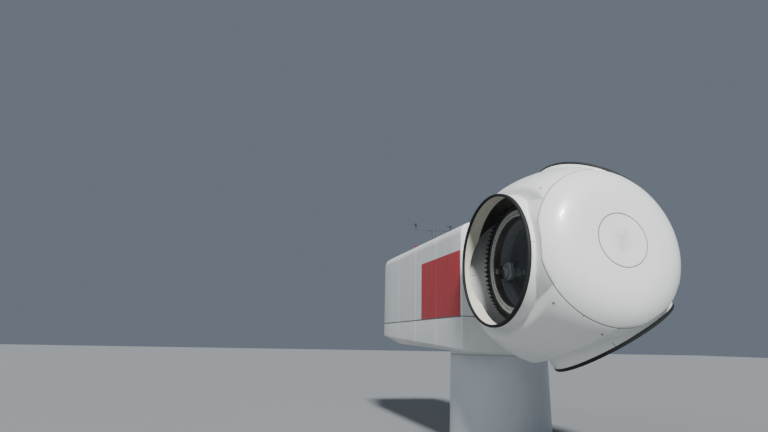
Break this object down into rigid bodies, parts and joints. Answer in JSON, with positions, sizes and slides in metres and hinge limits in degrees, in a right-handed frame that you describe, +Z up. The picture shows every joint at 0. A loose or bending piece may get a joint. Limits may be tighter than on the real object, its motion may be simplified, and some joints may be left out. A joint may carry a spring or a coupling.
{
  "type": "wind turbine nacelle",
  "caption": "Wind turbine nacelle on its tower top, with hub, rounded spinner and open blade ports; it yaws, spins and pitches.",
  "frame": {"origin": "on the tower axis, in the lower flange face", "axes": "+X towards the nose, +Z up"},
  "size_m": [13.9821, 5.0916, 8.5356],
  "materials": {
    "tower_paint": "semi-gloss light grey paint on rolled steel",
    "housing_paint": "semi-gloss light grey gel-coat on glass-fibre laminate, with a red marking band",
    "gelcoat": "satin off-white gel-coat on glass-fibre laminate",
    "lip_rubber": "matt black rubber",
    "casting_paint": "grey primer on a sand casting",
    "bearing_steel": "machined steel with zinc spray",
    "dark_metal": "dark grey powder coat",
    "lamp_red": "red lamp body"
  },
  "bodies": {
    "tower": {"tower_flange_platform": "tower_paint", "tower_shell": "tower_paint", "tower_top_flange": "bearing_steel"},
    "nacelle": {"main_bearing_housing": "casting_paint", "nacelle_front_cowl": "housing_paint", "nacelle_lower_housing": "housing_paint", "nacelle_upper_housing": "housing_paint", "obstruction_light_1": "lamp_red", "obstruction_light_2": "lamp_red", "rear_grille": "dark_metal", "roof_hatch": "gelcoat", "sensor_mast": "dark_metal", "wind_speed_sensor": "dark_metal", "wind_vane": "dark_metal", "yaw_ring": "tower_paint"},
    "rotor": {"blade_bearing_outer_race_1": "bearing_steel", "blade_bearing_outer_race_2": "bearing_steel", "blade_bearing_outer_race_3": "bearing_steel", "hub_casting": "casting_paint", "main_shaft": "bearing_steel", "nose_hatch": "gelcoat", "pitch_drive_1": "casting_paint", "pitch_drive_2": "casting_paint", "pitch_drive_3": "casting_paint", "port_collar_1": "gelcoat", "port_collar_2": "gelcoat", "port_collar_3": "gelcoat", "port_lip_1": "lip_rubber", "port_lip_2": "lip_rubber", "port_lip_3": "lip_rubber", "spinner_nose_dome": "gelcoat", "spinner_rear_bulkhead": "gelcoat", "spinner_segment_1": "gelcoat", "spinner_segment_2": "gelcoat", "spinner_segment_3": "gelcoat"},
    "pitch_1": {"blade_bearing_inner_race_1": "bearing_steel"},
    "pitch_2": {"blade_bearing_inner_race_2": "bearing_steel"},
    "pitch_3": {"blade_bearing_inner_race_3": "bearing_steel"}
  },
  "joints": [
    {"name": "yaw", "type": "hinge", "parent": "tower", "child": "nacelle", "pos_m": [0, 0, 2.8], "axis": [0, 0, 1], "continuous": true},
    {"name": "rotor_spin", "type": "hinge", "parent": "nacelle", "child": "rotor", "pos_m": [4.155, 0, 5.3], "axis": [0.9927, 0, 0.121], "continuous": true},
    {"name": "blade_pitch_1", "type": "hinge", "parent": "rotor", "child": "pitch_1", "pos_m": [4.22344, -1.29817, 5.30834], "axis": [0.0526, -0.9986, 0.0064], "range_deg": [0, 90]},
    {"name": "blade_pitch_2", "type": "hinge", "parent": "rotor", "child": "pitch_2", "pos_m": [4.0874, 0.64909, 6.42433], "axis": [-0.052, 0.4993, 0.8649], "range_deg": [0, 90]},
    {"name": "blade_pitch_3", "type": "hinge", "parent": "rotor", "child": "pitch_3", "pos_m": [4.35947, 0.64909, 4.19235], "axis": [0.1573, 0.4993, -0.852], "range_deg": [0, 90]}
  ]
}
